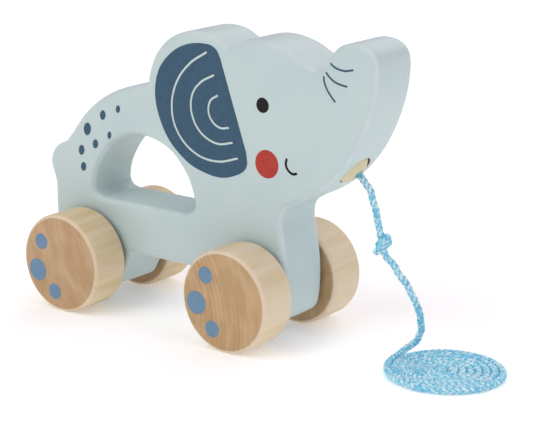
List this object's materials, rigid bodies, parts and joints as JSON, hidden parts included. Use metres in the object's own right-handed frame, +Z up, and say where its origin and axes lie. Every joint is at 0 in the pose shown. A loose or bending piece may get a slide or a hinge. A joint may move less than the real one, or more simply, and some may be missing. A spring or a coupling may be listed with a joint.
{
  "type": "pull along toy",
  "caption": "Wooden elephant pull-along toy: a thick painted body with a handle opening, turning wheelsets, and a braided pull cord held by a plug in the chin.",
  "frame": {"origin": "on the ground, below the middle of the toy without its cord", "axes": "+X towards the elephant's head, +Y to its left along the axles, +Z up"},
  "size_m": [0.2334, 0.07, 0.1346],
  "materials": {
    "body_paint": "satin paint, pale grey-blue",
    "beech": "clear satin lacquer",
    "plug_wood": "bare, sanded",
    "cord": "braided synthetic yarn",
    "slate_print": "printed ink, dark slate blue",
    "pale_print": "printed ink, pale mint",
    "black_print": "printed ink, black",
    "red_print": "printed ink, warm red",
    "blue_print": "printed ink, mid blue"
  },
  "bodies": {
    "elephant": {"body": "body_paint", "cord_plug": "plug_wood", "anchor_knot": "cord", "upper_cord": "cord", "cord_knot": "cord", "lower_cord": "cord", "cord_coil": "cord"},
    "front_wheelset": {"front_axle": "beech", "front_left_wheel": "beech", "front_right_wheel": "beech"},
    "rear_wheelset": {"rear_axle": "beech", "rear_left_wheel": "beech", "rear_right_wheel": "beech"}
  },
  "joints": [
    {"name": "front_roll", "type": "hinge", "parent": "elephant", "child": "front_wheelset", "pos_m": [0.0288, 0, 0.0225], "axis": [0, 1, 0], "continuous": true},
    {"name": "rear_roll", "type": "hinge", "parent": "elephant", "child": "rear_wheelset", "pos_m": [-0.0657, 0, 0.0225], "axis": [0, 1, 0], "continuous": true}
  ]
}
